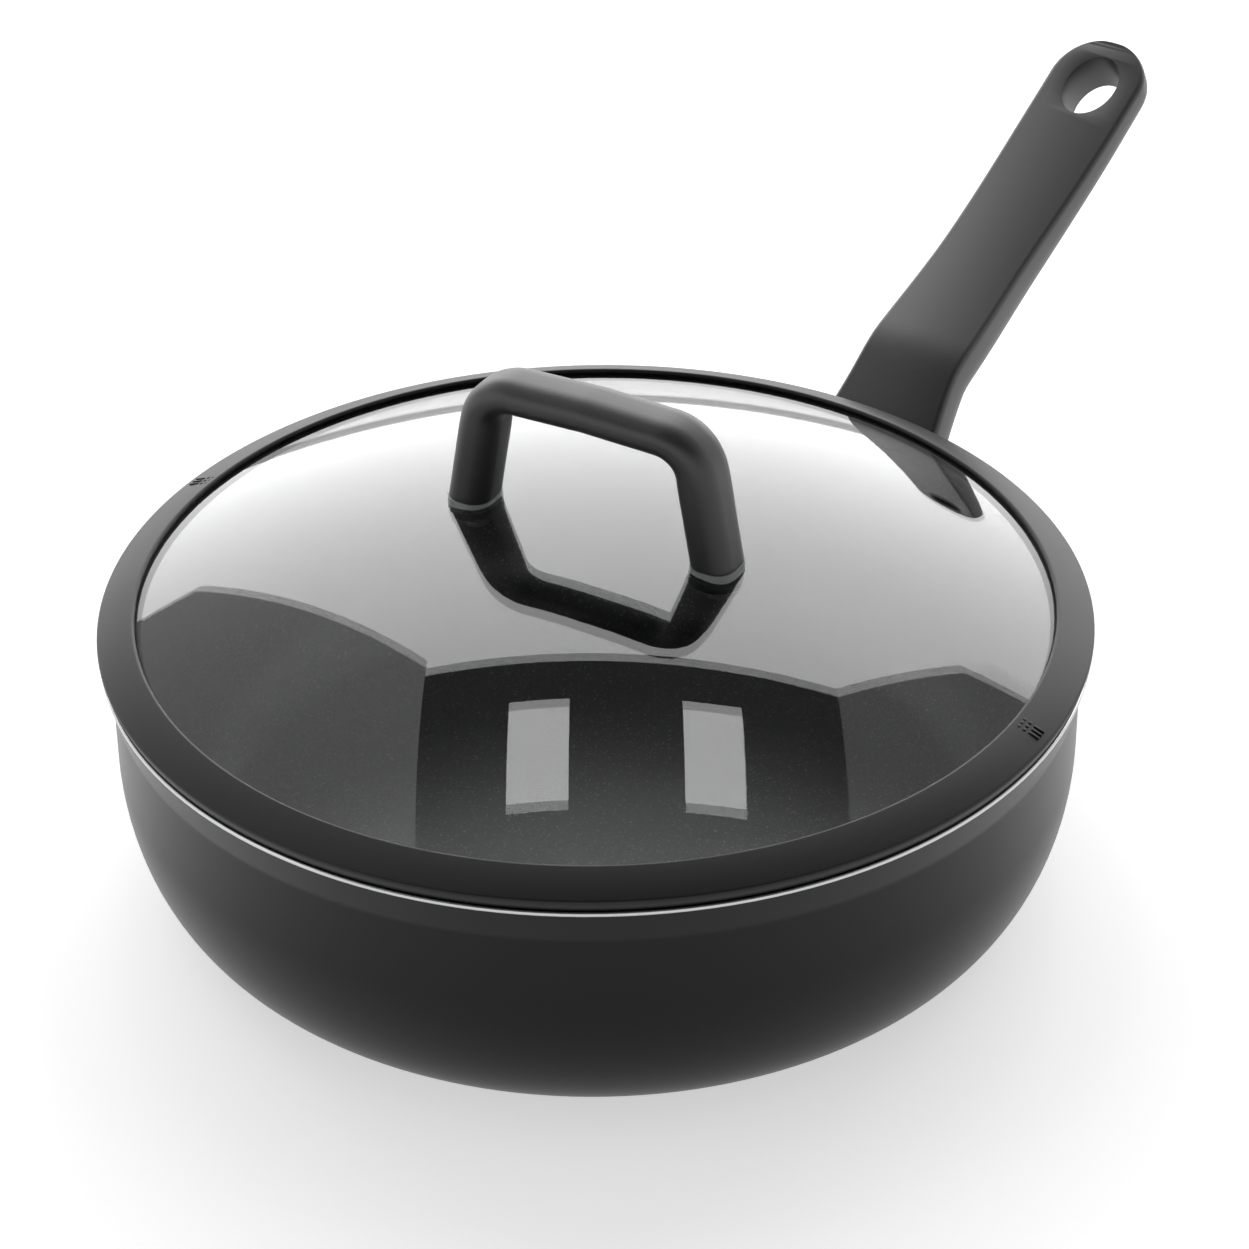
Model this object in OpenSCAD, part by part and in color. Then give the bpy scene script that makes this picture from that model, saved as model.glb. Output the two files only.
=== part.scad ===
// Saute pan with a glass lid, standing on its base.
// The origin is the centre of the base, +Z is up and the long handle points along +X.

/* [Pan] */
// Outer radius of the upright wall
wall_r = 140.5; // [125:0.5:155]
// Height of the rim above the base
pan_h = 82; // [78:1:95]
// Thickness of the wall
wall_t = 3; // [2.5:0.1:3.5]
// Thickness of the floor
floor_t = 4.5; // [3.5:0.1:6]
// How far the flared rim stands out past the wall
flare_w = 3; // [2.5:0.1:3.5]
// Height of the flared rim
flare_h = 10; // [8:0.5:12]
// Width of the soft corner between base and wall
corner_w = 29; // [24:0.5:34]
// Height of the soft corner between base and wall
corner_h = 49; // [40:1:54]

/* [Base disc] */
// Radius of the steel disc pressed into the base
disc_r = 96; // [70:1:100]
// Thickness of the steel disc
disc_t = 1.2; // [0.8:0.1:1.6]

/* [Handle] */
// Height at which the top of the neck would meet the wall
neck_z = 58; // [54:0.5:62]
// Rise of the neck, in degrees
neck_rise = 42.6; // [40:0.1:45]
// Length of the neck from the wall to the bend, along its slope
neck_len = 48; // [45:0.5:52]
// Rise of the grip just after the bend, in degrees
grip_rise = 20; // [17:0.5:23]
// Rise of the grip at its tip, in degrees
tip_rise = 30; // [27:0.5:33]
// Length of the grip up to the middle of its curve
grip_near = 72; // [66:1:80]
// Length of the grip from the middle of its curve to the tip
grip_far = 68; // [62:1:76]
// Width of the handle where it meets the wall
neck_w = 44; // [38:0.5:46]
// Width at the bend
bend_w = 35; // [33:0.5:39]
// Width at the middle of the grip
grip_w = 32; // [29:0.5:36]
// Width around the hanging hole
tip_w = 33.5; // [32:0.5:38]
// Thickness of the neck
neck_t = 22; // [21:0.5:25]
// Thickness at the tip
tip_t = 15; // [12:0.5:18]
// Radius of the tip's corners, seen from above
tip_round = 15; // [10:0.5:15.5]
// Length of the hanging hole
slot_l = 24; // [20:0.5:28]
// Width of the hanging hole
slot_w = 18; // [14:0.5:20]
// Distance of the hole's centre from the tip
slot_inset = 18; // [16:0.5:22]

/* [Bracket] */
// Width of the bracket inside the neck
bracket_w = 18; // [14:0.5:22]
// Thickness of the bracket
bracket_t = 10; // [8:0.5:11]
// Length of the bracket past the wall
bracket_l = 30; // [28:0.5:34]
// Distance of the handle screw from the wall
screw_at = 20; // [18:0.5:22]
// Radius of the handle screw
screw_r = 2.5; // [2:0.1:3]

/* [Glass] */
// Depth of the glass's edge in the ring
glass_grip = 4.2; // [3:0.1:5]
// Radius of the sphere that the glass follows
dome_r = 372; // [352:4:460]
// Thickness of the glass
glass_t = 4; // [3:0.1:4.5]

/* [Ring] */
// Width of the ring's sloping top
ring_w = 11.1; // [10:0.1:12.5]
// Fall of the ring's top from its inner lip to its outer edge
ring_fall = 4; // [3:0.1:5]
// Height of the ring's lip above the glass
lip_h = 1.4; // [1:0.1:2]
// Depth of the skirt that centres the lid in the pan
skirt_h = 4.8; // [3:0.1:6]
// Gap between the ring and the rim
seat_gap = 0.3; // [0.2:0.05:0.5]

/* [Lid handle] */
// Turn of the lid handle from the long handle, in degrees
lid_turn = 95; // [60:1:120]
// Distance of each leg's centre from the axis
leg_x = 40; // [36:0.5:46]
// Width of a leg at its foot
foot_w = 13.4; // [12:0.1:15]
// Height of the lid handle above its feet
arch_h = 43.5; // [40:0.1:50]
// Thickness of the bar
bar_t = 10.6; // [9:0.1:13]
// Depth of the bar, front to back
bar_d = 17.4; // [15:0.1:20]
// Depth of a foot, front to back
foot_d = 15.4; // [13:0.1:16]
// Lean of the legs, in degrees from level
leg_lean = 100; // [92:1:106]
// Radius of the shoulders along the middle of the arch
shoulder_r = 12; // [9:0.5:16]
// Height of a foot above the glass
foot_gap = 1.8; // [1.6:0.1:3]
// How far a gasket stands out past its foot
gasket_out = 0.3; // [0.2:0.1:1]
// Radius of the lid screws
bolt_r = 2; // [1.5:0.1:2.5]

/* [Hidden] */
// Clearances: where two pieces fit, round a screw, round a screw in a moulding, and past a cut face
fit = 0.1;
washer_play = 0.2;
screw_play = 0.3;
past = 1;
big = 400;
round_fn = 96;
screw_fn = 32;
base_r = wall_r - corner_w;
rim_r = wall_r + flare_w;
rim_bare = 0.8;
rim_round = 0.6;
// The wall swells a little just under the flare
swell_h = 2;
swell_w = 0.4;
corner_n = 14;

// An arc around a centre, from one angle to another
function arc(c, r, from, to, steps) =
    [for (i = [0:steps]) c + r * [cos(from + (to - from) * i / steps), sin(from + (to - from) * i / steps)]];

// The pan's outer line from the base to the rim, moved out by a gap
function pan_line(out = 0) = concat(
    [for (i = [0:corner_n]) let (a = i * 90 / corner_n)
        [base_r + (corner_w + out) * sin(a), corner_h - (corner_h + out) * cos(a)]],
    [[wall_r + out, pan_h - flare_h - swell_h], [wall_r + out + swell_w, pan_h - flare_h]],
    [[rim_r + out, pan_h - rim_bare]]);

// The pan's inner line from the rim to the floor
inner_line = concat(
    [[rim_r - wall_t, pan_h - rim_round], [wall_r + swell_w - wall_t, pan_h - flare_h],
     [wall_r - wall_t, pan_h - flare_h - swell_h]],
    [for (i = [corner_n:-1:0]) let (a = i * 90 / corner_n)
        [base_r + (corner_w - wall_t) * sin(a), corner_h - (corner_h - floor_t) * cos(a)]]);

module pan_body() color("#26272a") difference() {
    rotate_extrude($fn = round_fn) polygon(concat([[0, 0]], pan_line(),
        [[rim_r, pan_h - rim_round], [rim_r - rim_round, pan_h], [rim_r - wall_t + rim_round, pan_h]],
        inner_line, [[0, floor_t]]));
    translate([0, 0, -past]) cylinder(r = disc_r + fit, h = past + disc_t, $fn = round_fn);
}

// Shallow grooves turned into the disc
groove_r = 10;
groove_step = 20;
groove_w = 1.6;
groove_h = 0.4;

module base_disc() color("#b9bcc0") difference() {
    cylinder(r = disc_r, h = disc_t, $fn = round_fn);
    for (i = [1:3]) translate([0, 0, -groove_h]) difference() {
        cylinder(r = groove_r + i * groove_step + groove_w / 2, h = 2 * groove_h, $fn = round_fn);
        translate([0, 0, -past]) cylinder(r = groove_r + i * groove_step - groove_w / 2, h = big,
            $fn = round_fn);
    }
}

// The space that the pan's outside takes, moved out by a gap
module pan_space(out) rotate_extrude($fn = round_fn)
    polygon(concat([[0, -out]], pan_line(out), [[rim_r + out, pan_h + past], [0, pan_h + past]]));

// The top line of the handle in its upright plane
neck_dir = [cos(neck_rise), sin(neck_rise)];
near_dir = [cos(grip_rise), sin(grip_rise)];
far_dir = [cos(tip_rise), sin(tip_rise)];
neck_at = [wall_r, neck_z];
bend_at = neck_at + neck_len * neck_dir;
curve_at = bend_at + grip_near * near_dir;
tip_at = curve_at + grip_far * far_dir;
// The bend is rounded over these lengths before and after it
bend_in = 7;
bend_out = 8;
// The handle's line starts inside the wall, and the grip is thinner than the neck by a little
neck_in = 20;
neck_out = 16;
bend_thin = 2;
// Along the grip, where it is narrowest, and how much thinner its tip's end is
waist_at = 0.45;
tip_thin = 0.35;
grip_n = 12;
tip_n = 6;

function bezier(a, b, c, t) = (1 - t) * (1 - t) * a + 2 * t * (1 - t) * b + t * t * c;
function heading(a, b, c, t) = let (d = (1 - t) * (b - a) + t * (c - b)) atan2(d[1], d[0]);

bend_from = bend_at - bend_in * neck_dir;
bend_to = bend_at + bend_out * near_dir;
// Each station holds a point on the top line, its rise, its width and its thickness
neck_stations = [for (s = [-neck_in, 0, neck_out]) [neck_at + s * neck_dir, neck_rise,
    neck_w + (bend_w - neck_w) * max(s, 0) / neck_len, neck_t]];
bend_stations = [for (i = [0:6]) let (t = i / 6) [bezier(bend_from, bend_at, bend_to, t),
    heading(bend_from, bend_at, bend_to, t),
    bend_w + (neck_w - bend_w) * (1 - t) * bend_in / neck_len, neck_t - bend_thin * t]];
function grip_width(t) = t < waist_at ? bend_w + (grip_w - bend_w) * sin(90 * t / waist_at)
    : grip_w + (tip_w - grip_w) * (1 - cos(180 * (t - waist_at) / (1 - waist_at))) / 2;
function grip_thick(t) = (neck_t - bend_thin) * (1 - t) + tip_t * t;
grip_stations = [for (i = [1:grip_n]) let (t = i / (grip_n + 1)) [bezier(bend_to, curve_at, tip_at, t),
    heading(bend_to, curve_at, tip_at, t), grip_width(t), grip_thick(t)]];
tip_stations = [for (i = [0:tip_n]) let (a = i * 90 / tip_n, back = tip_round * (1 - sin(a)))
    [tip_at - back * far_dir, tip_rise, tip_w - 2 * tip_round * (1 - cos(a)),
     tip_t * (1 - tip_thin * (1 - cos(a)))]];
stations = concat(neck_stations, bend_stations, grip_stations, tip_stations);

// A section between an oblong and an oval, as one point of it at a given angle
section_n = 28;
function bulge(v, flat) = sign(v) * pow(abs(v), flat);
// A form holds how flat the upper and lower halves are, the lower half's share of the thickness,
// and whether the station's line runs along the section's top, as 1, or its middle, as 0
grip_form = [0.3, 0.7, 0.7, 1];
arch_form = [0.72, 0.72, 0.5, 0];
function station_point(s, a, form) = let (upper = sin(a) >= 0, flat = form[upper ? 0 : 1],
    low = form[2] * s[3], up = low - s[3] / 2 * (1 + form[3])
        + (upper ? s[3] - low : low) * bulge(sin(a), flat))
    [s[0][0] - up * sin(s[1]), s[2] / 2 * bulge(cos(a), flat), s[0][1] + up * cos(s[1])];
function sweep_faces(rings) = concat([[for (j = [0:section_n - 1]) j]],
    [[for (j = [section_n - 1:-1:0]) (rings - 1) * section_n + j]],
    [for (i = [0:rings - 2]) for (j = [0:section_n - 1])
        let (a = i * section_n + j, b = i * section_n + (j + 1) % section_n)
        [a, a + section_n, b + section_n, b]]);
module sweep(rows, form) polyhedron(
    [for (s = rows) for (j = [0:section_n - 1]) station_point(s, j * 360 / section_n, form)],
    sweep_faces(len(rows)), convexity = 8);

// A frame on the neck: +X along its slope, +Z out of its top, starting at the wall
module on_neck() translate([neck_at[0], 0, neck_at[1]]) rotate([0, -neck_rise, 0]) children();
bracket_top = -(neck_t - bracket_t) / 2;
bracket_low = bracket_top - bracket_t;
head_h = 2.2;
head_over = 2;
head_play = 0.5;
socket_h = 1.2;
washer_t = 0.8;
head_r = screw_r + head_over;
screw_seat = -neck_t + head_h + washer_t;
head_low = screw_seat - washer_t - head_h;
screw_hole = 12;

module neck_block(grow) on_neck() translate([-big / 8, -bracket_w / 2 - grow, bracket_low - grow])
    cube([big / 8 + bracket_l + grow, bracket_w + 2 * grow, bracket_t + 2 * grow]);

module handle_bracket() color("#a7a9ab") difference() {
    neck_block(0);
    pan_space(0);
    on_neck() translate([screw_at, 0, bracket_low - past])
        cylinder(r = screw_r + fit / 2, h = bracket_t, $fn = screw_fn);
}

module handle() color("#1d1d1f") difference() {
    sweep(stations, grip_form);
    pan_space(seat_gap);
    neck_block(fit);
    on_neck() translate([screw_at, 0, bracket_low - screw_hole + past])
        cylinder(r = screw_r + screw_play, h = screw_hole, $fn = screw_fn);
    on_neck() translate([screw_at, 0, screw_seat - neck_t])
        cylinder(r = head_r + head_play, h = neck_t, $fn = screw_fn);
    translate([tip_at[0], 0, tip_at[1]]) rotate([0, -tip_rise, 0]) translate([-slot_inset, 0, -big / 2])
        linear_extrude(big) slot_shape();
}

module slot_shape() {
    reach = (slot_l - slot_w) / 2;
    for (x = [-reach, reach]) translate([x, 0]) circle(d = slot_w, $fn = 48);
    translate([-reach, -slot_w / 2]) square([2 * reach, slot_w]);
}

module handle_screw() color("#c0c2c4") on_neck() translate([screw_at, 0, 0]) difference() {
    union() {
        translate([0, 0, head_low]) cylinder(r = head_r, h = head_h, $fn = screw_fn);
        translate([0, 0, head_low + past]) cylinder(r = screw_r, h = bracket_top - 2 * past - head_low - past,
            $fn = screw_fn);
    }
    translate([0, 0, head_low - past]) cylinder(d = head_r, h = past + socket_h, $fn = 6);
}

module handle_washer() color("#9fa2a5") on_neck() translate([screw_at, 0, screw_seat - washer_t]) difference() {
    cylinder(r = head_r, h = washer_t, $fn = screw_fn);
    translate([0, 0, -past]) cylinder(r = screw_r + washer_play, h = washer_t + 2 * past, $fn = screw_fn);
}

// The glass: its top follows a sphere, and its edge lies in the ring
ring_out = 0.4;
edge_r = rim_r + ring_out;
lip_r = edge_r - ring_w;
seat_z = pan_h + seat_gap;
glass_rise = 6.5;
glass_z = seat_z + glass_rise;
function sag(r) = dome_r - sqrt(dome_r * dome_r - r * r);
glass_r = lip_r + glass_grip;
dome_top = glass_z + sag(lip_r);
function dome_z(r) = dome_top - sag(r);
function dome_line(r0, r1, drop, steps = 24) =
    [for (i = [0:steps]) let (r = r0 + (r1 - r0) * i / steps) [r, dome_z(r) - drop]];

module lid_glass() color("#9fb0b3", 0.5) difference() {
    rotate_extrude($fn = round_fn) polygon(concat(dome_line(0, glass_r, 0), dome_line(glass_r, 0, glass_t)));
    for (side = [-1, 1]) on_leg(side) translate([0, 0, -big / 2])
        cylinder(r = bush_r + fit, h = big, $fn = screw_fn);
}

lip_z = dome_z(lip_r) + lip_h;
lip_round = 0.7;
outer_z = lip_z - ring_fall;
edge_round = 0.8;
edge_lean = 1.2;
skirt_play = 1.9;
skirt_out = rim_r - wall_t - skirt_play;
skirt_in = lip_r + ring_out;
skirt_low = seat_z - skirt_h;

// Drain slots in the skirt under each sign
drain_l = 10;
drain_w = 2.4;
drain_h = 3;
drain_step = 2.6;

module lid_ring() color("#232325") difference() {
    rotate_extrude($fn = round_fn) polygon(concat(
        [[edge_r - edge_lean, seat_z], [edge_r, outer_z - edge_round], [edge_r - edge_round / 2, outer_z]],
        arc([lip_r + lip_round, lip_z - lip_round], lip_round, 90, 180, 4),
        dome_line(lip_r, glass_r + fit, -fit, 4), dome_line(glass_r + fit, skirt_in, glass_t + fit, 4),
        [[skirt_in, skirt_low + edge_round], [skirt_in + edge_round, skirt_low],
         [skirt_out - edge_round, skirt_low], [skirt_out, skirt_low + 2 * edge_round], [skirt_out, seat_z]]));
    for (side = [-1, 1]) for (i = [-2.5:2.5]) rotate([0, 0, lid_turn + i * drain_step])
        translate([side * (skirt_in + skirt_out) / 2 - drain_l / 2, -drain_w / 2, skirt_low - drain_h])
            cube([drain_l, drain_w, 2 * drain_h]);
}

// The feet stand on gaskets that take up the slope of the glass
foot_z = dome_z(leg_x) + foot_gap;
crown = 0.7;
module on_leg(side) rotate([0, 0, lid_turn]) translate([side * leg_x, 0, 0]) children();
leg_len = (arch_h - bar_t / 2 - crown - shoulder_r * (1 + cos(leg_lean))) / sin(leg_lean);
leg_dir = [cos(leg_lean), sin(leg_lean)];
knee_at = [leg_x, foot_z] + leg_len * leg_dir;
shoulder_at = knee_at + shoulder_r * [-sin(leg_lean), cos(leg_lean)];
bar_heading = 178;
// Half of the arch from below its foot: point on its middle line, heading, depth and thickness
half_arch = concat(
    [for (k = [-0.1, 0.5]) [[leg_x, foot_z] + k * leg_len * leg_dir, leg_lean, foot_d, foot_w]],
    [for (i = [0:8]) let (t = i / 8, h = leg_lean + (bar_heading - leg_lean) * t)
        [shoulder_at + shoulder_r * [sin(h), -cos(h)], h, foot_d + (bar_d - foot_d) * t,
         foot_w + (bar_t - foot_w) * t]]);
bar_z = half_arch[len(half_arch) - 1][0][1] + crown;
arch = concat(half_arch, [[[0, bar_z], 180, bar_d, bar_t]],
    [for (i = [len(half_arch) - 1:-1:0]) let (s = half_arch[i]) [[-s[0][0], s[0][1]], 360 - s[1], s[2], s[3]]]);

insert_r = 3.5;
insert_l = 12;
module lid_handle() color("#1b1b1d") difference() {
    rotate([0, 0, lid_turn]) difference() {
        sweep(arch, arch_form);
        translate([-big / 2, -big / 2, foot_z - big]) cube(big);
    }
    for (side = [-1, 1]) on_leg(side) translate([0, 0, foot_z - past])
        cylinder(r = insert_r + fit / 2, h = insert_l + 3 * past, $fn = screw_fn);
}

// The outline of a foot where it stands on its gasket
module foot_outline(grow) polygon([for (j = [0:section_n - 1]) let (a = j * 360 / section_n)
    [(foot_w / sin(leg_lean) / 2 + grow) * bulge(cos(a), arch_form[0]),
     (foot_d / 2 + grow) * bulge(sin(a), arch_form[0])]]);
bush_r = bolt_r + 1.9;

module leg_gasket(side) color("#d8dcdf", 0.7) on_leg(side) difference() {
    union() {
        difference() {
            translate([0, 0, foot_z - glass_t]) linear_extrude(glass_t) foot_outline(gasket_out);
            translate([-side * leg_x, 0, 0]) glass_space(0);
        }
        translate([0, 0, dome_z(leg_x) - glass_t + past])
            cylinder(r = bush_r, h = glass_t + past / 2, $fn = screw_fn);
    }
    translate([0, 0, foot_z - big / 2]) cylinder(r = bolt_r + screw_play, h = big, $fn = screw_fn);
}
// All the space below the top of the glass, or below its underside
module glass_space(drop) rotate_extrude($fn = round_fn)
    polygon(concat(dome_line(0, glass_r, drop), [[glass_r, 0], [0, 0]]));
module leg_gasket_left() leg_gasket(1);
module leg_gasket_right() leg_gasket(-1);

module thread_insert(side) color("#b08d4a") on_leg(side) translate([0, 0, foot_z]) difference() {
    cylinder(r = insert_r, h = insert_l, $fn = screw_fn);
    translate([0, 0, -past]) cylinder(r = bolt_r + fit / 2, h = insert_l + 2 * past, $fn = screw_fn);
}
module thread_insert_left() thread_insert(1);
module thread_insert_right() thread_insert(-1);

// Under the glass: a soft seal, a steel washer and the head of the screw
seal_r = 8;
seal_t = 1.3;
seal_low = dome_z(leg_x + seal_r) - glass_t - seal_t;
plate_t = 1;
bolt_head_h = 2.6;
bolt_head_r = bolt_r + 2.4;
cross_w = 1;
cross_h = 1.4;
module seal_washers() color("#2a2a2a") for (side = [-1, 1]) on_leg(side) difference() {
    intersection() {
        translate([0, 0, seal_low]) cylinder(r = seal_r, h = seal_r, $fn = 48);
        translate([-side * leg_x, 0, 0]) glass_space(glass_t);
    }
    translate([0, 0, seal_low - past]) cylinder(r = bolt_r + washer_play, h = 2 * seal_r, $fn = screw_fn);
}
module steel_washers() color("#c4c6c8") for (side = [-1, 1]) on_leg(side)
    translate([0, 0, seal_low - plate_t]) difference() {
        cylinder(r = seal_r - plate_t, h = plate_t, $fn = 48);
        translate([0, 0, -past]) cylinder(r = bolt_r + washer_play, h = plate_t + 2 * past, $fn = screw_fn);
    }
module lid_screws() color("#cfd1d3") for (side = [-1, 1]) on_leg(side)
    translate([0, 0, seal_low - plate_t]) difference() {
        union() {
            translate([0, 0, -bolt_head_h]) cylinder(r = bolt_head_r, h = bolt_head_h, $fn = screw_fn);
            translate([0, 0, -past])
                cylinder(r = bolt_r, h = foot_z + insert_l - seal_low + plate_t, $fn = screw_fn);
        }
        for (turn = [0, 90]) rotate([0, 0, turn])
            translate([-bolt_head_r / 2, -cross_w / 2, -bolt_head_h - past])
                cube([bolt_head_r, cross_w, past + cross_h]);
    }

pan_body();
base_disc();
handle_bracket();
handle();
handle_screw();
handle_washer();
lid_glass();
lid_ring();
lid_handle();
leg_gasket_left();
leg_gasket_right();
thread_insert_left();
thread_insert_right();
lid_screws();
steel_washers();
seal_washers();
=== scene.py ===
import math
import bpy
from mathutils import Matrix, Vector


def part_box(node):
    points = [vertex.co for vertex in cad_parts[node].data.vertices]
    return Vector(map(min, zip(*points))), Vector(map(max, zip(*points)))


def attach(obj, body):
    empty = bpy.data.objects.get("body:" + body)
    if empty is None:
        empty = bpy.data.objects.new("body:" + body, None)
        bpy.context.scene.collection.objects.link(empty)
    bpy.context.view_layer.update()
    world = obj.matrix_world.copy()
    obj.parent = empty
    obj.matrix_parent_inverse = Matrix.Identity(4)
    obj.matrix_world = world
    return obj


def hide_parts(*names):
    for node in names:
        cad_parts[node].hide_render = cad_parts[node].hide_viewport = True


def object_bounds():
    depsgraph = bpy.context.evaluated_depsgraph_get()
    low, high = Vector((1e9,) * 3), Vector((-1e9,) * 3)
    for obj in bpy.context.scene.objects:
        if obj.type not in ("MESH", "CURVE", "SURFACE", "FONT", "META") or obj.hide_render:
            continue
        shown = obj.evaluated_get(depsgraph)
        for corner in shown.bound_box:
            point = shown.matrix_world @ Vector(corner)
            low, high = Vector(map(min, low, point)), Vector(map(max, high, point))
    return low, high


bl_info = {
    "name": "Saute Pan With Lid",
    "version": (1, 0, 0),
    "blender": (4, 5, 0),
    "location": "View3D > Sidebar > Pan",
    "description": "Models and finishes a saute pan with a glass lid around its packed frame",
    "category": "Add Mesh",
}

import bpy
from bpy.props import FloatProperty, PointerProperty, StringProperty
from mathutils import Matrix, Vector

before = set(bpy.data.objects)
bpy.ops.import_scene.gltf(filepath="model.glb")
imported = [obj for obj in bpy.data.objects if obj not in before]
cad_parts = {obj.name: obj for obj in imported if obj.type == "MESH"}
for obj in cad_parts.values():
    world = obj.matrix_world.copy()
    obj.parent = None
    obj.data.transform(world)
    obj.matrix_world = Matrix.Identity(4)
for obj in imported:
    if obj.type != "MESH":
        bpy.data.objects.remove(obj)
CAD_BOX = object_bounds()

MM = 0.001
PAN_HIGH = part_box("pan_body")[1]
RING_LOW, RING_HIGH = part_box("lid_ring")
ARCH_LOW, ARCH_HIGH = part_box("lid_handle")
BEARING = math.radians(-55)


def length(name, text, default):
    """A size in metres that a user can change."""
    return FloatProperty(name=name, description=text, default=default, min=0, unit="LENGTH", precision=4)


def tint(name, text, default):
    """A colour as an sRGB hex value."""
    return StringProperty(name=name, description=text, default=default)


class PanSizes(bpy.types.PropertyGroup):
    """Sizes of the pan body and its long handle."""

    rim_r: length("Rim radius", "Outer radius of the flared rim", PAN_HIGH.x)
    height: length("Height", "Height of the rim above the base", PAN_HIGH.z)
    wall: length("Wall", "Thickness of the wall", 3 * MM)
    floor: length("Floor", "Thickness of the floor", 4.5 * MM)
    flare_w: length("Flare width", "How far the rim stands out past the wall", 3 * MM)
    flare_h: length("Flare height", "Height of the flared rim", 10 * MM)
    corner_w: length("Corner width", "Width of the soft corner at the base", 29 * MM)
    corner_h: length("Corner height", "Height of the soft corner at the base", 49 * MM)
    disc_r: length("Disc radius", "Radius of the recess for the base disc", 96.1 * MM)
    disc_t: length("Disc depth", "Depth of the recess for the base disc", 1.2 * MM)
    neck_z: length("Neck height", "Height where the top of the neck meets the wall", 58 * MM)
    neck_len: length("Neck length", "Length of the neck along its slope", 48 * MM)
    grip_near: length("Grip near", "Length of the grip up to the middle of its curve", 72 * MM)
    grip_far: length("Grip far", "Length of the grip past the middle of its curve", 68 * MM)
    tip_inset: length("Hole inset", "Distance of the hanging hole from the tip", 18 * MM)
    hole_l: length("Hole length", "Length of the hanging hole", 24 * MM)
    hole_w: length("Hole width", "Width of the hanging hole", 18 * MM)
    bare: length("Bare rim", "Height of the uncoated edge of the rim", 0.8 * MM)


class LidSizes(bpy.types.PropertyGroup):
    """Sizes of the lid."""

    glass_r: length("Glass radius", "Radius of the glass at its edge", 137 * MM)
    dome_r: length("Dome radius", "Radius of the sphere that the glass follows", 372 * MM)
    glass_t: length("Glass thickness", "Thickness of the glass", 4 * MM)
    ring_w: length("Ring width", "Width of the sloping top of the ring", 11.1 * MM)
    ring_fall: length("Ring fall", "Fall of the ring's top towards its edge", 4 * MM)
    lip_h: length("Lip height", "Height of the ring's lip above the glass", 1.4 * MM)
    leg_x: length("Leg distance", "Distance of a leg's centre from the axis", 40 * MM)
    bar_t: length("Bar thickness", "Thickness of the handle's bar", 10.6 * MM)
    bar_d: length("Bar depth", "Depth of the handle's bar, front to back", 17.4 * MM)
    foot_w: length("Foot width", "Width of a leg at its foot", 13.4 * MM)
    foot_d: length("Foot depth", "Depth of a leg at its foot", 15.4 * MM)
    shoulder_r: length("Shoulder radius", "Radius of the shoulders along the bar's middle", 12 * MM)
    lean: FloatProperty(name="Leg lean", description="Lean of the legs from level", default=math.radians(100),
                        subtype="ANGLE")
    turn: FloatProperty(name="Lid turn", description="Turn of the lid handle", default=math.radians(95),
                        subtype="ANGLE")


class Finishes(bpy.types.PropertyGroup):
    """Colours of the finishes."""

    coating: tint("Coating", "Satin black outer coating", "#0a0a0b")
    nonstick: tint("Non-stick", "Inner non-stick coating", "#1b1b1d")
    speck: tint("Speck", "Mineral specks in the non-stick coating", "#5a5a5c")
    rim: tint("Rim", "Bare turned aluminium", "#c4c5c6")
    moulding: tint("Moulding", "Soft-touch handle moulding", "#141415")
    silicone: tint("Silicone", "Rim ring of the lid", "#0c0c0d")
    glass: tint("Glass", "Tempered glass", "#eceded")
    clear: tint("Clear silicone", "Gaskets under the lid handle", "#e8eced")
    steel: tint("Steel", "Fasteners and base disc", "#c3c5c8")
    brass: tint("Brass", "Thread inserts", "#c9a45c")
    rubber: tint("Rubber", "Seal washers", "#1a1a1a")


def linear(code):
    """Turns an sRGB hex value into the linear colour that a shader takes."""
    parts = [int(code[i:i + 2], 16) / 255 for i in (1, 3, 5)]
    return tuple(p / 12.92 if p <= 0.04045 else ((p + 0.055) / 1.055) ** 2.4 for p in parts) + (1.0,)


def add(tree, kind, settings=None, **sockets):
    """Adds a node, sets its settings, and fills or links its inputs by name."""
    node = tree.nodes.new(kind)
    for key, value in (settings or {}).items():
        setattr(node, key, value)
    for key, value in sockets.items():
        name = key.replace("_", " ")
        socket = node.inputs[int(name[2:])] if name.startswith("at") else node.inputs[name]
        if isinstance(value, bpy.types.NodeSocket):
            tree.links.new(value, socket)
        else:
            socket.default_value = value
    return node


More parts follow.
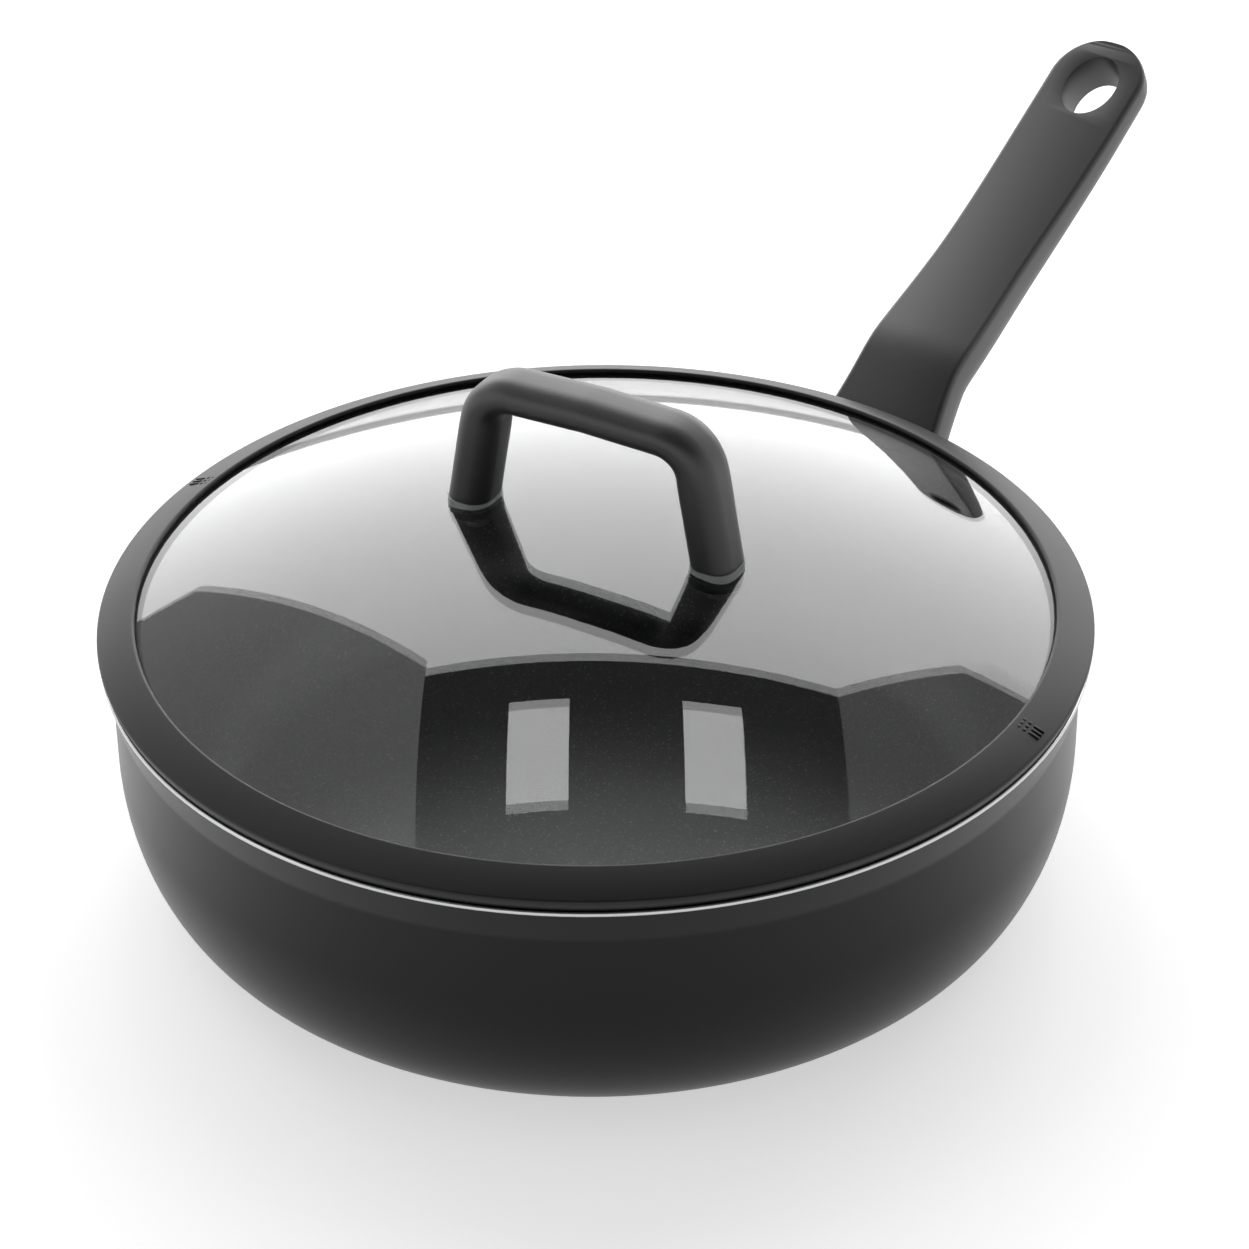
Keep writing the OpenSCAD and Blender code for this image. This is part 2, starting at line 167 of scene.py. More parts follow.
def finish(name, colour, rough, grain_mm, bump, fleck=None, fleck_mm=1.0, fleck_at=(0.72, 0.78), **shader):
    """A surface with fine grain in its height and roughness, and flecks of a second colour if asked."""
    material = bpy.data.materials.new(name)
    material.use_nodes = True
    tree = material.node_tree
    tree.nodes.clear()
    place = add(tree, "ShaderNodeTexCoord").outputs["Object"]
    grain = add(tree, "ShaderNodeTexNoise", Vector=place, Scale=1 / (grain_mm * MM), Detail=3.0)
    cloud = add(tree, "ShaderNodeTexNoise", Vector=place, Scale=25.0, Detail=4.0)
    spread = add(tree, "ShaderNodeMapRange", Value=cloud.outputs["Fac"], at_3=rough * 0.93, at_4=rough * 1.07)
    if bump:
        shader["Normal"] = add(tree, "ShaderNodeBump", Strength=bump, Distance=grain_mm * MM * 0.3,
                               Height=grain.outputs["Fac"]).outputs["Normal"]
    base = linear(colour)
    if fleck:
        spots = add(tree, "ShaderNodeTexNoise", Vector=place, Scale=1 / (fleck_mm * MM), Detail=2.0)
        mask = add(tree, "ShaderNodeMapRange", Value=spots.outputs["Fac"], at_1=fleck_at[0], at_2=fleck_at[1])
        base = add(tree, "ShaderNodeMix", {"data_type": "RGBA"}, at_0=mask.outputs["Result"],
                   at_6=linear(colour), at_7=linear(fleck)).outputs[2]
    surface = add(tree, "ShaderNodeBsdfPrincipled", Base_Color=base, Roughness=spread.outputs["Result"],
                  **shader)
    add(tree, "ShaderNodeOutputMaterial", Surface=surface.outputs["BSDF"])
    return material


def satin_coating(colours):
    """Sprayed heat-proof coating on aluminium: satin black, with an orange-peel too fine to count."""
    return finish("satin_coating", colours.coating, 0.33, 0.5, 0.12, Specular_IOR_Level=0.22)


def speckled_nonstick(colours):
    """Sprayed non-stick layer: dark and slightly glossy, with light mineral specks under 1 mm."""
    return finish("speckled_nonstick", colours.nonstick, 0.34, 0.6, 0.06, fleck=colours.speck,
                  fleck_mm=0.7, fleck_at=(0.62, 0.68))


def turned_rim(colours):
    """Bare aluminium left by the lathe on the rim: bright, with a fine turned grain."""
    return finish("turned_rim", colours.rim, 0.2, 0.3, 0.08, Metallic=1.0)


def soft_touch(colours):
    """Moulded handle with a soft-touch skin: matt, with a fine eroded texture drawn at 0.35 mm."""
    return finish("soft_touch", colours.moulding, 0.43, 0.35, 0.16, fleck="#1b1b1c", fleck_mm=0.6,
                  fleck_at=(0.45, 0.65), Specular_IOR_Level=0.75, Sheen_Weight=0.1, Sheen_Roughness=0.4)


def rim_silicone(colours):
    """Moulded silicone: an even satin black that lint and light make slightly grey."""
    return finish("rim_silicone", colours.silicone, 0.42, 0.5, 0.1, fleck="#101011", fleck_mm=0.5,
                  fleck_at=(0.6, 0.7), Specular_IOR_Level=0.35)


def tempered_glass(colours):
    """Pressed tempered glass: clear, polished on both faces, faintly grey-green."""
    return finish("tempered_glass", colours.glass, 0.004, 60.0, 0.0, Transmission_Weight=1.0, IOR=1.52)


def clear_silicone(colours):
    """Unpigmented silicone: milky clear, with a soft bright edge."""
    return finish("clear_silicone", colours.clear, 0.22, 0.8, 0.05, Transmission_Weight=0.7, IOR=1.41)


def plain_steel(colours):
    """Zinc-bright or stainless steel: grey metal with fine machining grain."""
    return finish("plain_steel", colours.steel, 0.28, 0.25, 0.15, Metallic=1.0)


def turned_brass(colours):
    """Turned brass thread inserts: warm metal with a fine grain."""
    return finish("turned_brass", colours.brass, 0.3, 0.25, 0.1, Metallic=1.0)


def cast_aluminium(colours):
    """Cast aluminium bracket: dull grey with a sandy skin."""
    return finish("cast_aluminium", "#a9abae", 0.45, 0.8, 0.4, Metallic=1.0)


def matt_rubber(colours):
    """Moulded rubber seal: matt black."""
    return finish("matt_rubber", colours.rubber, 0.7, 0.4, 0.2)


def paint(piece, *materials):
    """Gives a piece its materials in the order of its slots."""
    piece.data.materials.clear()
    for material in materials:
        piece.data.materials.append(material)


def fresh(name, primitive, **settings):
    """Adds a primitive by itself and names it."""
    if bpy.context.object and bpy.context.object.mode != "OBJECT":
        bpy.ops.object.mode_set(mode="OBJECT")
    bpy.ops.object.select_all(action="DESELECT")
    primitive(**settings)
    piece = bpy.context.object
    piece.name = piece.data.name = name
    return piece


def edit(select="SELECT"):
    """Goes into edit mode with all or nothing selected."""
    bpy.ops.object.mode_set(mode="EDIT")
    bpy.ops.mesh.select_all(action=select)


def pick(piece, wanted):
    """Selects in edit mode only the vertices whose place is wanted."""
    bpy.ops.mesh.select_all(action="DESELECT")
    bpy.ops.object.mode_set(mode="OBJECT")
    for vertex in piece.data.vertices:
        vertex.select = wanted(vertex.co)
    bpy.ops.object.mode_set(mode="EDIT")


def only(piece):
    """Makes a piece the only one selected, in object mode."""
    bpy.ops.object.select_all(action="DESELECT")
    piece.select_set(True)
    bpy.context.view_layer.objects.active = piece


def settle(piece, angle=32):
    """Writes a piece's place into its mesh and shades it smooth by angle."""
    only(piece)
    bpy.ops.object.transform_apply(location=True, rotation=True, scale=True)
    bpy.ops.object.shade_smooth_by_angle(angle=math.radians(angle))


def modify(piece, kind, **settings):
    """Adds a modifier and applies it."""
    only(piece)
    modifier = piece.modifiers.new(kind.title(), kind)
    for key, value in settings.items():
        setattr(modifier, key, value)
    bpy.ops.object.modifier_apply(modifier=modifier.name)


def carve(piece, cutter):
    """Cuts one closed piece out of another and deletes the cutter."""
    modify(piece, "BOOLEAN", operation="DIFFERENCE", solver="EXACT", object=cutter)
    bpy.data.objects.remove(cutter)


def lathe(name, line, steps=160):
    """Extrudes a vertex along a line of radius and height, and spins it round the axis."""
    piece = fresh(name, bpy.ops.mesh.primitive_plane_add, size=MM)
    edit()
    bpy.ops.mesh.merge(type="CENTER")
    bpy.ops.transform.translate(value=(line[0][0], 0, line[0][1]))
    for (r0, z0), (r1, z1) in zip(line, line[1:]):
        bpy.ops.mesh.extrude_vertices_move(TRANSFORM_OT_translate={"value": (r1 - r0, 0, z1 - z0)})
    bpy.ops.mesh.select_all(action="SELECT")
    bpy.ops.mesh.spin(steps=steps, angle=math.tau, center=(0, 0, 0), axis=(0, 0, 1))
    bpy.ops.mesh.select_all(action="SELECT")
    bpy.ops.mesh.remove_doubles(threshold=0.01 * MM)
    bpy.ops.mesh.normals_make_consistent(inside=False)
    bpy.ops.object.mode_set(mode="OBJECT")
    settle(piece)
    return piece


def arc(r, z, size, start, stop, steps=8):
    """Points of an arc round a centre, with angles in degrees."""
    angles = [math.radians(start + (stop - start) * i / steps) for i in range(steps + 1)]
    return [(r + size * math.cos(a), z + size * math.sin(a)) for a in angles]


def along(points):
    """The distance of each point from the first, along the line."""
    far = [0.0]
    for a, b in zip(points, points[1:]):
        far.append(far[-1] + math.dist(a, b))
    return far


def bent(piece, points):
    """Bends a straight form along a line of length and height, and stands it upright."""
    guide = bpy.data.curves.new("guide", "CURVE")
    guide.dimensions = "3D"
    spline = guide.splines.new("POLY")
    spline.points.add(len(points) - 1)
    for point, (x, y) in zip(spline.points, points):
        point.co = (x, y, 0, 1)
    rail = bpy.data.objects.new("guide", guide)
    bpy.context.scene.collection.objects.link(rail)
    modify(piece, "CURVE", object=rail, deform_axis="POS_X")
    bpy.data.objects.remove(rail)
    piece.rotation_euler = (math.radians(90), 0, 0)


def grow(stations, anchor):
    """Extrudes the selected section along X to each station, scaled about an anchor height."""
    for (x0, w0, t0), (x1, w1, t1) in zip(stations, stations[1:]):
        bpy.ops.mesh.extrude_region_move(TRANSFORM_OT_translate={"value": (x1 - x0, 0, 0)})
        bpy.ops.transform.resize(value=(1, t1 / t0, w1 / w0), center_override=(x1, anchor, 0))


def blend_curve(a, b, c, steps):
    """Points of a quadratic curve between a and c that heads for b at both ends."""
    out = []
    for i in range(1, steps + 1):
        t = i / steps
        out.append(tuple((1 - t) ** 2 * p + 2 * t * (1 - t) * q + t * t * r for p, q, r in zip(a, b, c)))
    return out


def eased(value, table):
    """A smooth value between the entries of a short table of place and size."""
    for (x0, y0), (x1, y1) in zip(table, table[1:]):
        if value <= x1:
            t = max(0.0, (value - x0) / (x1 - x0))
            return y0 + (y1 - y0) * t * t * (3 - 2 * t)
    return table[-1][1]


def pan_outside(size, out=0.0):
    """The pan's outer line from the base to the flare."""
    wall_r = size.rim_r - size.flare_w
    base_r = wall_r - size.corner_w
    line = []
    for i in range(25):
        a = math.radians(i * 90 / 24)
        line.append((base_r + (size.corner_w + out) * math.sin(a),
                     size.corner_h - (size.corner_h + out) * math.cos(a)))
    flare = size.height - size.flare_h
    return line + [(wall_r + out, flare - 2 * MM), (wall_r + out + 0.2 * MM, flare - 0.8 * MM),
                   (wall_r + out + 0.5 * MM, flare)]


class PAN_OT_body(bpy.types.Operator):
    """Spins the pan body and gives it its two coatings and its bare rim"""

    bl_idname = "pan.body"
    bl_label = "Pan body"

    def execute(self, context):
        size, colours = context.scene.pan_sizes, context.scene.pan_finishes
        bare, edge = size.bare, 0.6 * MM
        wall_r = size.rim_r - size.flare_w
        base_r = wall_r - size.corner_w
        flare = size.height - size.flare_h
        inner_r = size.rim_r - size.wall
        line = [(0, size.disc_t), (size.disc_r, size.disc_t), (size.disc_r, 0)] + pan_outside(size)
        line += [(size.rim_r - 0.1 * MM, size.height - bare - 0.3 * MM), (size.rim_r, size.height - bare)]
        line += arc(size.rim_r - edge, size.height - edge, edge, 0, 90, 4)
        line += arc(inner_r + edge, size.height - edge, edge, 90, 180, 4)
        line += [(wall_r + 0.4 * MM - size.wall, flare), (wall_r - size.wall, flare - 2 * MM)]
        for i in range(24, -1, -1):
            a = math.radians(i * 90 / 24)
            line.append((base_r + (size.corner_w - size.wall) * math.sin(a),
                         size.corner_h - (size.corner_h - size.floor) * math.cos(a)))
        line += [(base_r * 0.5, size.floor), (0, size.floor)]
        pan = lathe("pan_shell", line)
        paint(pan, satin_coating(colours), turned_rim(colours), speckled_nonstick(colours))
        middle = size.rim_r - size.wall / 2
        for face in pan.data.polygons:
            r = math.hypot(face.center.x, face.center.y)
            inward = face.normal.x * face.center.x + face.normal.y * face.center.y < -1e-9
            if face.center.z > size.height - bare - 0.35 * MM and r > middle - MM:
                face.material_index = 1
            elif inward or (face.normal.z > 0.9 and r < wall_r - size.wall):
                face.material_index = 2
        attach(pan, "pan")
        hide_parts("pan_body")
        return {"FINISHED"}


class PAN_OT_handle(bpy.types.Operator):
    """Models the long handle with its hanging hole"""

    bl_idname = "pan.handle"
    bl_label = "Long handle"

    def execute(self, context):
        size, colours = context.scene.pan_sizes, context.scene.pan_finishes
        neck_way, near_way, far_way = [(math.cos(math.radians(a)), math.sin(math.radians(a)))
                                       for a in (42.6, 20, 30)]

        def step(point, way, reach):
            return (point[0] + way[0] * reach, point[1] + way[1] * reach)

        buried = 12 * MM
        neck = (size.rim_r - size.flare_w, size.neck_z)
        bend = step(neck, neck_way, size.neck_len)
        curve = step(bend, near_way, size.grip_near)
        tip = step(curve, far_way, size.grip_far)
        crease_in, crease_out = 7 * MM, 8 * MM
        top = [step(neck, neck_way, -buried), neck, step(bend, neck_way, -crease_in)]
        top += blend_curve(top[-1], bend, step(bend, near_way, crease_out), 8)
        top += blend_curve(top[-1], curve, tip, 40)
        reach = along(top)[-1]
        bend_s = buried + size.neck_len
        widths = [(0, 47 * MM), (buried, 44 * MM), (bend_s, 35 * MM), (bend_s + 50 * MM, 32 * MM),
                  (reach - 30 * MM, 33.5 * MM), (reach, 33.5 * MM)]
        thick = [(0, 22 * MM), (bend_s, 20 * MM), (reach, 15 * MM)]
        round_r = 15 * MM
        stops = [reach * i / 60 for i in range(61) if reach * i / 60 < reach - round_r]
        stops += [reach - round_r * (1 - math.sin(math.radians(i * 6))) for i in range(16)]
        stations = []
        for s in stops:
            inset = round_r - math.sqrt(max(0.0, round_r ** 2 - max(0.0, s - reach + round_r) ** 2))
            ease = 1 - 0.22 * (inset / round_r) ** 2
            stations.append((s, eased(s, widths) - 2 * inset, eased(s, thick) * ease))
        grip = fresh("long_handle", bpy.ops.mesh.primitive_plane_add, size=1, rotation=(0, math.pi / 2, 0))
        grip.scale = (stations[0][1], stations[0][2], 1)
        bpy.ops.object.transform_apply(rotation=True, scale=True)
        edit()
        bpy.ops.transform.translate(value=(0, -stations[0][2] / 2, 0))
        pick(grip, lambda co: co.y < -stations[0][2] / 2)
        bpy.ops.mesh.bevel(offset=12.5 * MM, segments=9, affect="VERTICES")
        pick(grip, lambda co: co.y > -0.01 * MM)
        bpy.ops.mesh.bevel(offset=2.4 * MM, segments=4, affect="VERTICES")
        bpy.ops.mesh.select_all(action="SELECT")
        grow(stations, 0)
        bpy.ops.mesh.select_all(action="SELECT")
        bpy.ops.mesh.normals_make_consistent(inside=False)
        bpy.ops.object.mode_set(mode="OBJECT")
        for vertex in grip.data.vertices:
            half = eased(vertex.co.x, widths) / 2
            drop = 1.1 * MM * (vertex.co.z / half) ** 2
            vertex.co.y -= drop if vertex.co.y > -6 * MM else 0
        bent(grip, top)
        settle(grip)
        wall = lathe("wall_cutter", [(0, -0.3 * MM)] + pan_outside(size, 0.3 * MM)
                     + [(size.rim_r + 0.3 * MM, size.height), (0, size.height)], 240)
        carve(grip, wall)
        hole = fresh("hole_cutter", bpy.ops.mesh.primitive_cone_add, vertices=64,
                     radius1=size.hole_w / 2 - MM, radius2=size.hole_w / 2 + MM, depth=40 * MM)
        hole.scale = (size.hole_l / size.hole_w, 1, 1)
        hole.rotation_euler = (0, math.radians(-30), 0)
        at = step(tip, far_way, -size.tip_inset)
        hole.location = (at[0], 0, at[1])
        settle(hole)
        carve(grip, hole)
        modify(grip, "BEVEL", width=0.7 * MM, segments=3, limit_method="ANGLE", angle_limit=math.radians(50))
        settle(grip, 40)
        paint(grip, soft_touch(colours))
        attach(grip, "pan")
        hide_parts("handle")
        return {"FINISHED"}


def lip(size):
    """Radius of the ring's inner lip."""
    return RING_HIGH.x - size.ring_w


def dome(size, r):
    """Height of the top of the glass at a distance from the axis."""
    fall = math.sqrt(size.dome_r ** 2 - r ** 2) - math.sqrt(size.dome_r ** 2 - lip(size) ** 2)
    return RING_HIGH.z - size.lip_h + fall


class PAN_OT_glass(bpy.types.Operator):
    """Spins the domed glass"""

    bl_idname = "pan.glass"
    bl_label = "Glass"

    def execute(self, context):
        size, colours = context.scene.lid_sizes, context.scene.pan_finishes
        steps = 40
        radii = [size.glass_r * i / steps for i in range(steps + 1)]
        line = [(r, dome(size, r)) for r in radii]
        line += [(r, dome(size, r) - size.glass_t) for r in reversed(radii)]
        glass = lathe("glass_dome", line, 192)
        paint(glass, tempered_glass(colours))
        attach(glass, "lid")
        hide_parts("lid_glass")
        return {"FINISHED"}


class PAN_OT_ring(bpy.types.Operator):
    """Spins the silicone ring and raises two plain signs on it"""

    bl_idname = "pan.ring"
    bl_label = "Rim ring"

    def execute(self, context):
        size, colours = context.scene.lid_sizes, context.scene.pan_finishes
        pan = context.scene.pan_sizes
        lip_r, top = lip(size), RING_HIGH.z
        edge_r, seat = RING_HIGH.x, pan.height + 0.3 * MM
        outer_z = top - size.ring_fall
        skirt_in, skirt_out = lip_r + 0.4 * MM, pan.rim_r - pan.wall - 1.9 * MM
        low = RING_LOW.z
        gap = 0.1 * MM
        line = [(skirt_out, seat), (edge_r - 1.4 * MM, seat), (edge_r - 1.0 * MM, seat + 0.3 * MM)]
        line += [(edge_r, outer_z - 1.1 * MM)] + arc(edge_r - 0.9 * MM, outer_z - 0.8 * MM, 0.9 * MM, 10, 70, 5)
        line += arc(lip_r + 0.9 * MM, top - 0.9 * MM, 0.9 * MM, 75, 180, 8)
        glass_r = size.glass_r + gap
        line += [(lip_r, dome(size, lip_r) + gap), (glass_r, dome(size, glass_r) + gap),
                 (glass_r, dome(size, glass_r) - size.glass_t - gap),
                 (skirt_in, dome(size, skirt_in) - size.glass_t - gap), (skirt_in, low + 0.8 * MM)]
        line += [(skirt_in + 0.8 * MM, low), (skirt_out - MM, low), (skirt_out, low + 1.6 * MM), (skirt_out, seat)]
        ring = lathe("silicone_ring", line, 192)
        silicone = rim_silicone(colours)
        paint(ring, silicone)
        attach(ring, "lid")
        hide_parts("lid_ring")
        self.signs(size, (lip_r + edge_r) / 2, (top + outer_z) / 2, silicone)
        return {"FINISHED"}

    def signs(self, size, middle, z, silicone):
        """Three short bars and six dots on each side, as raised moulded signs."""
        slope = math.atan2(size.ring_fall, size.ring_w)
        parts = []
        for side in (0, math.pi):
            for place in range(9):
                bar = place < 3
                add_shape = bpy.ops.mesh.primitive_cube_add if bar else bpy.ops.mesh.primitive_cylinder_add
                part = fresh("sign", add_shape, **({"size": MM} if bar else {"radius": 0.55 * MM, "depth": MM,
                                                                           "vertices": 20}))
                if bar:
                    part.scale = (3.4, 0.7, 0.5)
                    out, swing = 1.7 * MM, (place - 1) * 1.7 * MM
                else:
                    part.scale = (1, 1, 0.5)
                    out, swing = (-1.2 - 1.7 * ((place - 3) // 3)) * MM, ((place - 3) % 3 - 1) * 1.9 * MM
                turn = size.turn + side + swing / middle
                r = middle + out
                part.location = (r * math.cos(turn), r * math.sin(turn), z - out * math.tan(slope) + 0.15 * MM)
                part.rotation_euler = (0, slope, turn)
                bpy.ops.object.transform_apply(location=True, rotation=True, scale=True)
                modify(part, "BEVEL", width=0.15 * MM, segments=2)
                parts.append(part)
        only(parts[0])
        for part in parts:
            part.select_set(True)
        bpy.ops.object.join()
        signs = bpy.context.object
        signs.name = signs.data.name = "ring_signs"
        settle(signs)
        paint(signs, silicone)
        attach(signs, "lid")


class PAN_OT_lid_handle(bpy.types.Operator):
    """Models the arch handle of the lid"""

    bl_idname = "pan.lid_handle"
    bl_label = "Lid handle"

    def execute(self, context):
        size, colours = context.scene.lid_sizes, context.scene.pan_finishes
        foot = (size.leg_x, ARCH_LOW.z)
        bend_r, rise, spare = size.shoulder_r, 0.7 * MM, 3 * MM
        a = size.lean
        way = (math.cos(a), math.sin(a))
        leg = (ARCH_HIGH.z - ARCH_LOW.z - size.bar_t / 2 - rise - bend_r * (1 + way[0])) / way[1]
        knee = (foot[0] + leg * way[0], foot[1] + leg * way[1])
        centre = (knee[0] - bend_r * way[1], knee[1] + bend_r * way[0])
        half = [(foot[0] - spare * way[0], foot[1] - spare * way[1]), foot,
                ((foot[0] + knee[0]) / 2, (foot[1] + knee[1]) / 2)]
        half += [(centre[0] + bend_r * math.sin(h), centre[1] - bend_r * math.cos(h))
                 for h in [a + (math.radians(178) - a) * i / 13 for i in range(14)]]
        crown = half[-1][1] + rise
        points = half + [(0, crown)] + [(-x, y) for x, y in reversed(half)]
        reach = along(points)[-1]
        knee_s = spare + leg
        shoulder = knee_s + 18 * MM
        thick = [(0, size.foot_w), (knee_s - 6 * MM, size.foot_w - 0.4 * MM), (shoulder, size.bar_t),
                 (reach / 2, size.bar_t)]
        depth = [(0, size.foot_d), (knee_s, size.foot_d + MM), (shoulder, size.bar_d), (reach / 2, size.bar_d)]
        stations = []
        for i in range(97):
            s = reach * i / 96
            near = min(s, reach - s)
            stations.append((s, eased(near, depth), eased(near, thick)))
        arch = fresh("arch_handle", bpy.ops.mesh.primitive_plane_add, size=1, rotation=(0, math.pi / 2, 0))
        arch.scale = (stations[0][1], stations[0][2], 1)
        bpy.ops.object.transform_apply(rotation=True, scale=True)
        edit()
        bpy.ops.mesh.bevel(offset=5.6 * MM, segments=8, affect="VERTICES")
        bpy.ops.mesh.select_all(action="SELECT")
        grow(stations, 0)
        bpy.ops.mesh.select_all(action="SELECT")
        bpy.ops.mesh.normals_make_consistent(inside=False)
        bpy.ops.object.mode_set(mode="OBJECT")
        bent(arch, points)
        only(arch)
        bpy.ops.object.transform_apply(location=True, rotation=True, scale=True)
        arch.rotation_euler = (0, 0, size.turn)
        settle(arch)
        edit()
        bpy.ops.mesh.bisect(plane_co=(0, 0, ARCH_LOW.z), plane_no=(0, 0, 1), use_fill=True, clear_inner=True)
        bpy.ops.object.mode_set(mode="OBJECT")
        modify(arch, "BEVEL", width=0.5 * MM, segments=2, limit_method="ANGLE", angle_limit=math.radians(60))
        settle(arch, 40)
        paint(arch, soft_touch(colours))
        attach(arch, "lid")
        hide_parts("lid_handle")
        return {"FINISHED"}


class PAN_OT_hardware(bpy.types.Operator):
    """Finishes the small parts that keep their built shape"""

    bl_idname = "pan.hardware"
    bl_label = "Small parts"

    def execute(self, context):
        colours = context.scene.pan_finishes
        steel, brass, clear = plain_steel(colours), turned_brass(colours), clear_silicone(colours)
        kept = {
            "base_disc": steel, "handle_screw": steel, "handle_washer": steel, "lid_screws": steel,
            "steel_washers": steel, "handle_bracket": cast_aluminium(colours),
            "thread_insert_left": brass, "thread_insert_right": brass,
            "leg_gasket_left": clear, "leg_gasket_right": clear, "seal_washers": matt_rubber(colours),
        }
        for name, material in kept.items():
            paint(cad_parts[name], material)
        return {"FINISHED"}


def studio(point):
    """Turns a place given as right, away and up from the camera's side into the row frame."""
    x, y, z = point
    return Vector((x * math.cos(BEARING) - y * math.sin(BEARING),
                   x * math.sin(BEARING) + y * math.cos(BEARING), z))


def lamp(name, centre, target, width, height, radiance):
    """A rectangular softbox with a given brightness, turned towards a target."""
    light = bpy.data.lights.new(name, "AREA")
    light.shape = "RECTANGLE"
    light.size, light.size_y = width, height
    light.energy = radiance * math.pi * width * height
    box = bpy.data.objects.new(name, light)
    bpy.context.scene.collection.objects.link(box)
    box.location = studio(centre)
    way = studio(target) - box.location
    box.rotation_euler = (0, 0, BEARING) if centre[:2] == target[:2] else way.to_track_quat("-Z", "Y").to_euler()
    box.visible_camera = False
    return box


def card(name, corners, height, level):
    """A flat card over the set that the glass mirrors, with its own even brightness."""
    sheet = fresh(name, bpy.ops.mesh.primitive_circle_add, vertices=len(corners), fill_type="NGON")
    for vertex, (x, y) in zip(sheet.data.vertices, corners):
        vertex.co = studio((x, y, height))
    settle(sheet)
    material = bpy.data.materials.new(name)
    material.use_nodes = True
    material.node_tree.nodes.clear()
    glow = add(material.node_tree, "ShaderNodeEmission", Color=(level, level, level, 1.0), Strength=1.0)
    add(material.node_tree, "ShaderNodeOutputMaterial", Surface=glow.outputs["Emission"])
    paint(sheet, material)
    sheet.visible_camera = False
    sheet.visible_shadow = False
    return sheet


def seen_directly(tree):
    """1 for a ray that shows the background: from the camera, in a mirror or through glass."""
    path = add(tree, "ShaderNodeLightPath").outputs
    first = add(tree, "ShaderNodeMath", {"operation": "MAXIMUM"}, at_0=path["Is Camera Ray"],
                at_1=path["Is Glossy Ray"])
    return add(tree, "ShaderNodeMath", {"operation": "MAXIMUM"}, at_0=first.outputs[0],
               at_1=path["Is Transmission Ray"]).outputs[0]


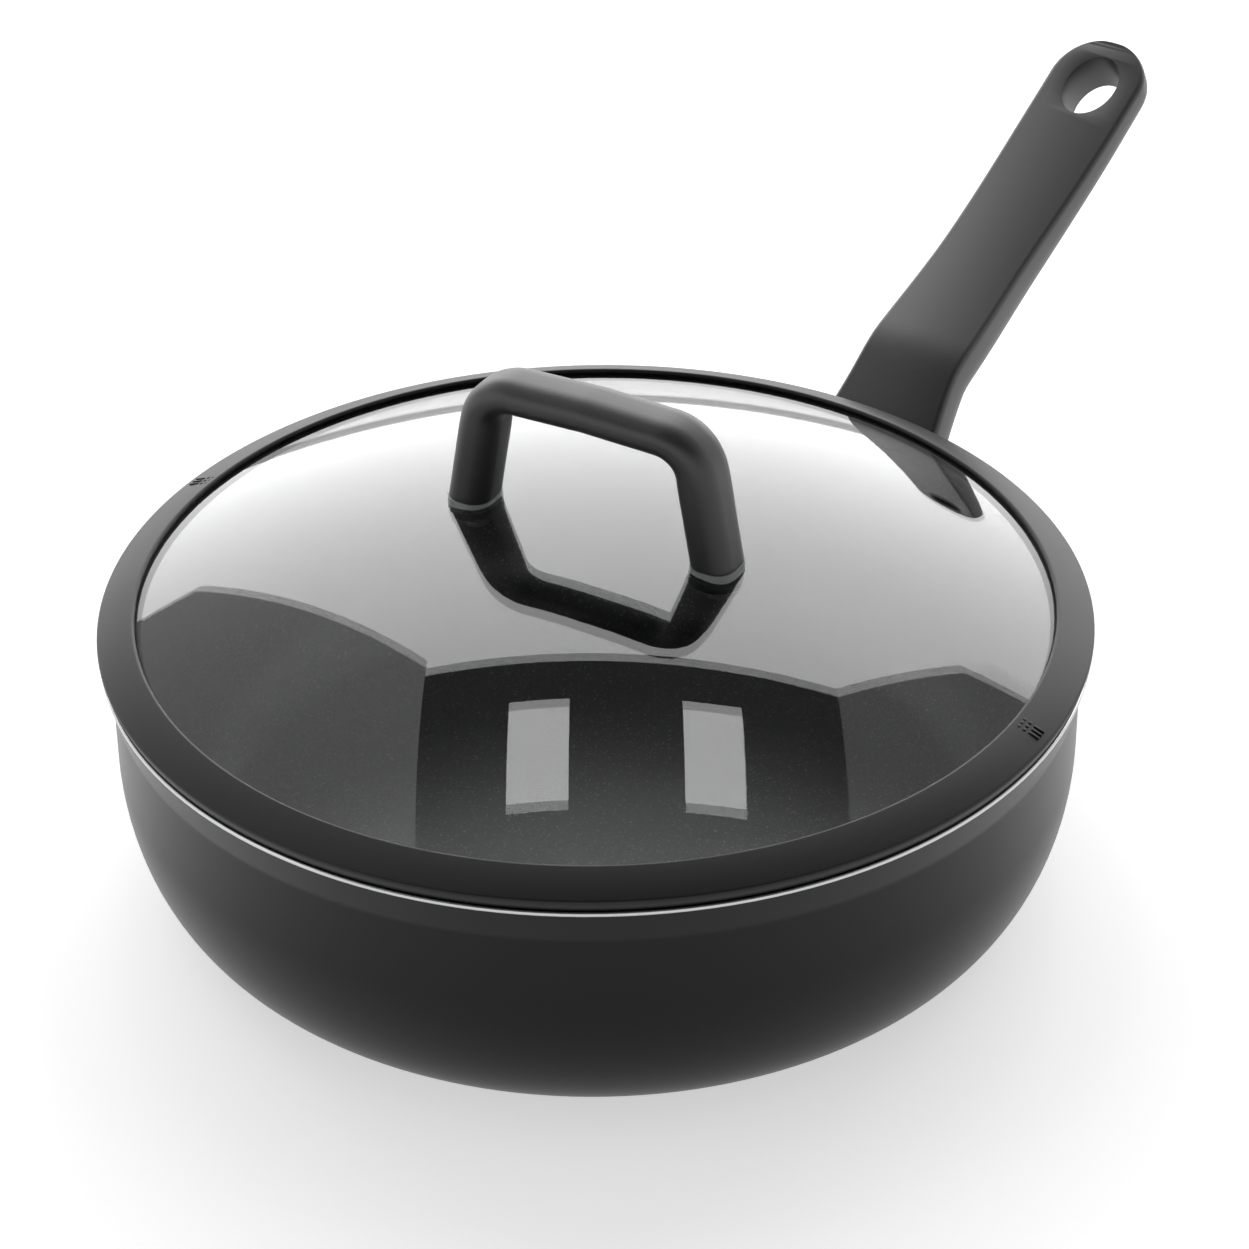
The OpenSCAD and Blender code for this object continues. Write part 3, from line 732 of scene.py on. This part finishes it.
class PAN_OT_stage(bpy.types.Operator):
    """Sets the floor, the softboxes, the cards and the camera"""

    bl_idname = "pan.stage"
    bl_label = "Stage"

    def execute(self, context):
        scene = context.scene
        scene.view_settings.view_transform = "Standard"
        self.floor()
        self.world(scene)
        ceiling = 2.2
        card("dark_ceiling", ((-0.69, -0.6), (0.88, -0.6), (0.88, 1.56), (-0.69, 1.63)), ceiling, 0.12)
        card("left_wing", ((-0.34, -0.3), (-0.34, 0.81), (-1.2, 2.3), (-1.8, 2.3), (-1.8, -0.3)), 1.14, 0.7)
        card("right_wing", ((0.88, -0.6), (3.2, -0.6), (3.2, 2.5), (1.73, 2.5), (0.88, 1.56)), ceiling, 0.5)
        card("dark_front", ((-3.0, -3.4), (3.0, -3.4), (3.0, -0.6), (-3.0, -0.6)), ceiling, 0.12)
        for name, x in (("left_strip", -0.21), ("right_strip", 0.39)):
            lamp(name, (x, 0.94, ceiling - 0.02), (x, 0.94, 0), 0.21, 0.6, 3.6)
        lamp("back_softbox", (0, 2.46, 1.73), (0, 0, 0.8), 6.0, 3.4, 2.3)
        lamp("left_fill", (-2.4, -0.6, 1.1), (0, 0, 0.05), 1.4, 1.4, 0.5)
        self.camera(scene)
        return {"FINISHED"}

    def floor(self):
        """A white floor that keeps the pan's soft shadow."""
        floor = fresh("floor", bpy.ops.mesh.primitive_plane_add, size=30)
        floor.location.z = CAD_BOX[0].z - 0.2 * MM
        settle(floor)
        material = bpy.data.materials.new("white_floor")
        material.use_nodes = True
        tree = material.node_tree
        tree.nodes.clear()
        paper = add(tree, "ShaderNodeBsdfDiffuse", Color=(0.85, 0.85, 0.85, 1.0))
        glow = add(tree, "ShaderNodeEmission", Color=(1.0, 1.0, 1.0, 1.0), Strength=0.55)
        clear = add(tree, "ShaderNodeEmission", Color=(0.0, 0.0, 0.0, 1.0), Strength=0.0)
        shown = add(tree, "ShaderNodeMixShader", at_0=seen_directly(tree), at_1=clear.outputs[0],
                    at_2=glow.outputs[0])
        both = add(tree, "ShaderNodeAddShader", at_0=paper.outputs[0], at_1=shown.outputs[0])
        add(tree, "ShaderNodeOutputMaterial", Surface=both.outputs[0])
        paint(floor, material)

    def world(self, scene):
        """A white surround for the camera and for reflections, and a dimmer one that lights the set."""
        world = bpy.data.worlds.new("studio")
        scene.world = world
        world.use_nodes = True
        tree = world.node_tree
        tree.nodes.clear()
        level = add(tree, "ShaderNodeMapRange", Value=seen_directly(tree), at_3=0.45, at_4=1.0)
        sky = add(tree, "ShaderNodeBackground", Color=(1.0, 1.0, 1.0, 1.0), Strength=level.outputs["Result"])
        add(tree, "ShaderNodeOutputWorld", Surface=sky.outputs["Background"])

    def camera(self, scene):
        """The camera of the photograph: a long lens about 1.16 m from the lid."""
        data = bpy.data.cameras.new("camera")
        data.sensor_width = 36
        data.lens = 36 * 4000 / 1249
        data.clip_start, data.clip_end = 0.05, 60
        camera = bpy.data.objects.new("camera", data)
        scene.collection.objects.link(camera)
        camera.location = studio((0.0083, -0.9790, 0.6165 + RING_HIGH.z))
        turn = (Vector((0, 0, 1)), BEARING), (Vector((1, 0, 0)), math.radians(90 - 32.652)), \
               (Vector((0, 0, 1)), math.radians(-0.54))
        rotation = turn_matrix(turn)
        camera.rotation_euler = rotation.to_euler()
        scene.camera = camera


def turn_matrix(turns):
    """Turns about several axes, the last one first, as one rotation."""
    out = Matrix.Identity(3)
    for axis, angle in turns:
        out = out @ Matrix.Rotation(angle, 3, axis)
    return out


class PAN_PT_panel(bpy.types.Panel):
    """Lists the steps that build the pan"""

    bl_label = "Saute pan"
    bl_space_type = "VIEW_3D"
    bl_region_type = "UI"
    bl_category = "Pan"

    def draw(self, context):
        for step in STEPS:
            self.layout.operator(step.bl_idname)
        for group in (context.scene.pan_sizes, context.scene.lid_sizes, context.scene.pan_finishes):
            for name in group.__annotations__:
                self.layout.prop(group, name)


STEPS = (PAN_OT_stage, PAN_OT_body, PAN_OT_handle, PAN_OT_glass, PAN_OT_ring, PAN_OT_lid_handle,
         PAN_OT_hardware)
CLASSES = (PanSizes, LidSizes, Finishes) + STEPS + (PAN_PT_panel,)


def register():
    for entry in CLASSES:
        bpy.utils.register_class(entry)
    bpy.types.Scene.pan_sizes = PointerProperty(type=PanSizes)
    bpy.types.Scene.lid_sizes = PointerProperty(type=LidSizes)
    bpy.types.Scene.pan_finishes = PointerProperty(type=Finishes)


def unregister():
    del bpy.types.Scene.pan_sizes, bpy.types.Scene.lid_sizes, bpy.types.Scene.pan_finishes
    for entry in reversed(CLASSES):
        bpy.utils.unregister_class(entry)


def main():
    register()
    bpy.ops.pan.stage()
    bpy.ops.pan.body()
    bpy.ops.pan.handle()
    bpy.ops.pan.glass()
    bpy.ops.pan.ring()
    bpy.ops.pan.lid_handle()
    bpy.ops.pan.hardware()


if __name__ == "__main__":
    main()
